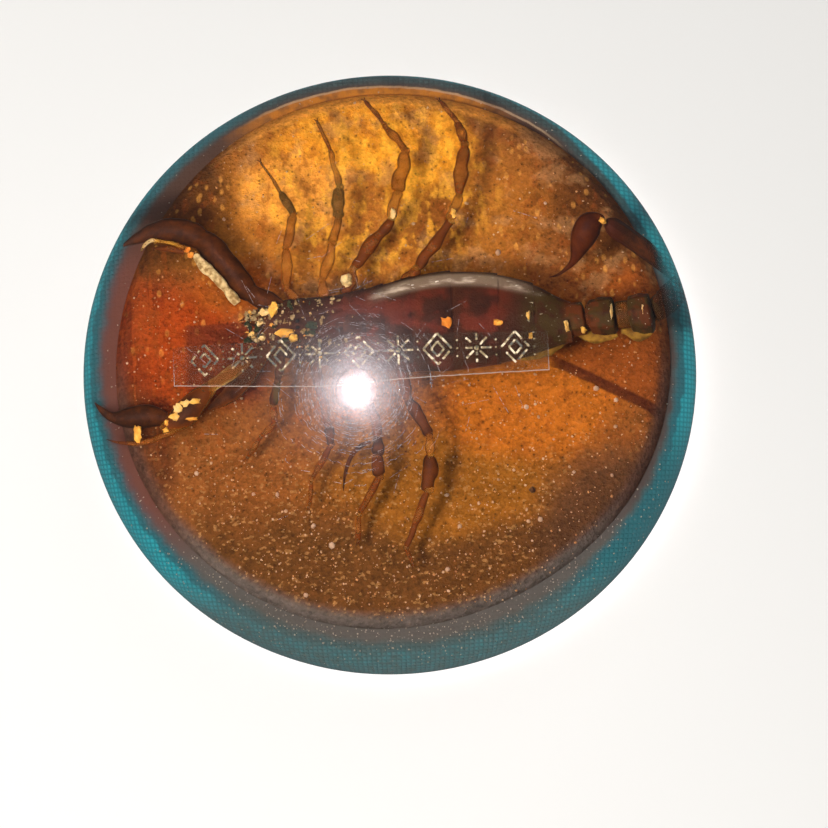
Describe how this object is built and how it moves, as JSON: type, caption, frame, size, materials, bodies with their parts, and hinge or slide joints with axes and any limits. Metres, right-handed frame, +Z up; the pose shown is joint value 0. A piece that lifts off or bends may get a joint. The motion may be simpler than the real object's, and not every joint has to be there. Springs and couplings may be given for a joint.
{
  "type": "scorpion in resin dome paperweight",
  "caption": "Clear domed resin paperweight with a dried scorpion cast over a bed of coloured sand, standing on a round woven cloth pad.",
  "frame": {"origin": "centre of the pad's underside", "axes": "+Z up out of the dome's crown; +X along the animal from head to tail; +Y to its upper legs, away from the viewer"},
  "size_m": [0.076, 0.076, 0.031],
  "materials": {
    "clear_resin": "clear polyester resin, polished, with fine scratches on the crown",
    "sand": "rough bonded sand, orange to brown, patchy",
    "pad_cloth": "teal plain-woven cloth",
    "body_shell": "dark brown dried chitin, satin",
    "limb_shell": "amber to brown dried chitin, satin, darker at the joints",
    "dry_tissue": "cream and amber dried flesh under the shell",
    "grit": "pale stone grit",
    "film": "thin clear film strip",
    "gold_foil": "pressed gold foil"
  },
  "bodies": {
    "root": {"base_pad": "pad_cloth", "sand_bed": "sand", "resin_dome": "clear_resin"}
  },
  "joints": []
}
